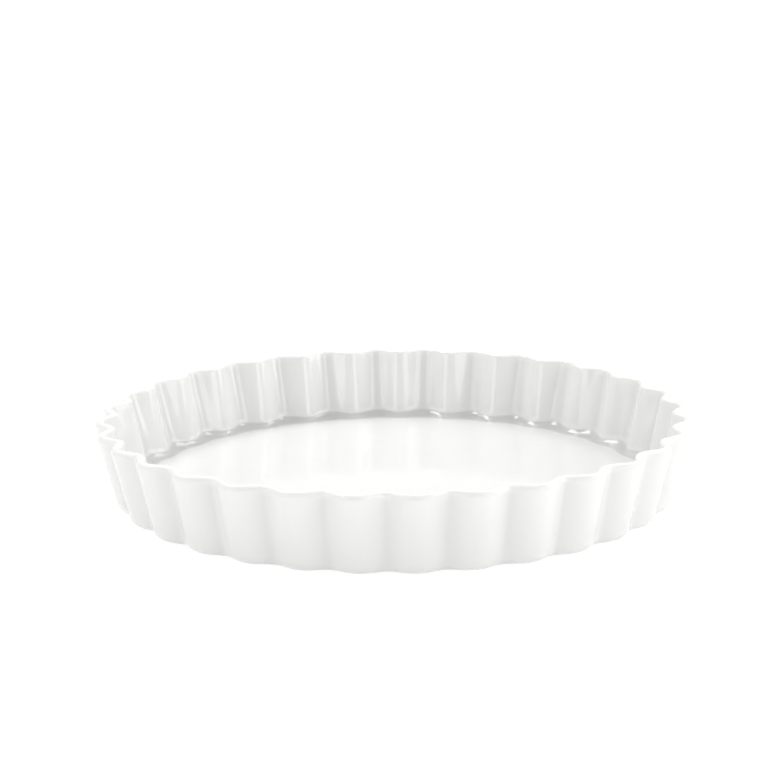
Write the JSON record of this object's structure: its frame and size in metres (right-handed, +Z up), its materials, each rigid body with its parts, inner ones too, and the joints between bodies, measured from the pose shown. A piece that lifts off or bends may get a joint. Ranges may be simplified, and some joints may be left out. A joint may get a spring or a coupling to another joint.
{
  "type": "fluted quiche dish",
  "caption": "Shallow round baking dish with a fluted, outward-leaning wall, a rounded rim, a flat floor and a foot ring underneath.",
  "frame": {"origin": "middle of the circle that the foot ring stands on, at table level", "axes": "+Z up along the dish's axis; the crest of one flute lies on +X"},
  "size_m": [0.2798, 0.2798, 0.0386],
  "materials": {
    "glazed_porcelain": "white porcelain under a clear glossy glaze, with bare matt clay on the underside of the foot ring"
  },
  "bodies": {
    "root": {"fluted_dish": "glazed_porcelain"}
  },
  "joints": []
}
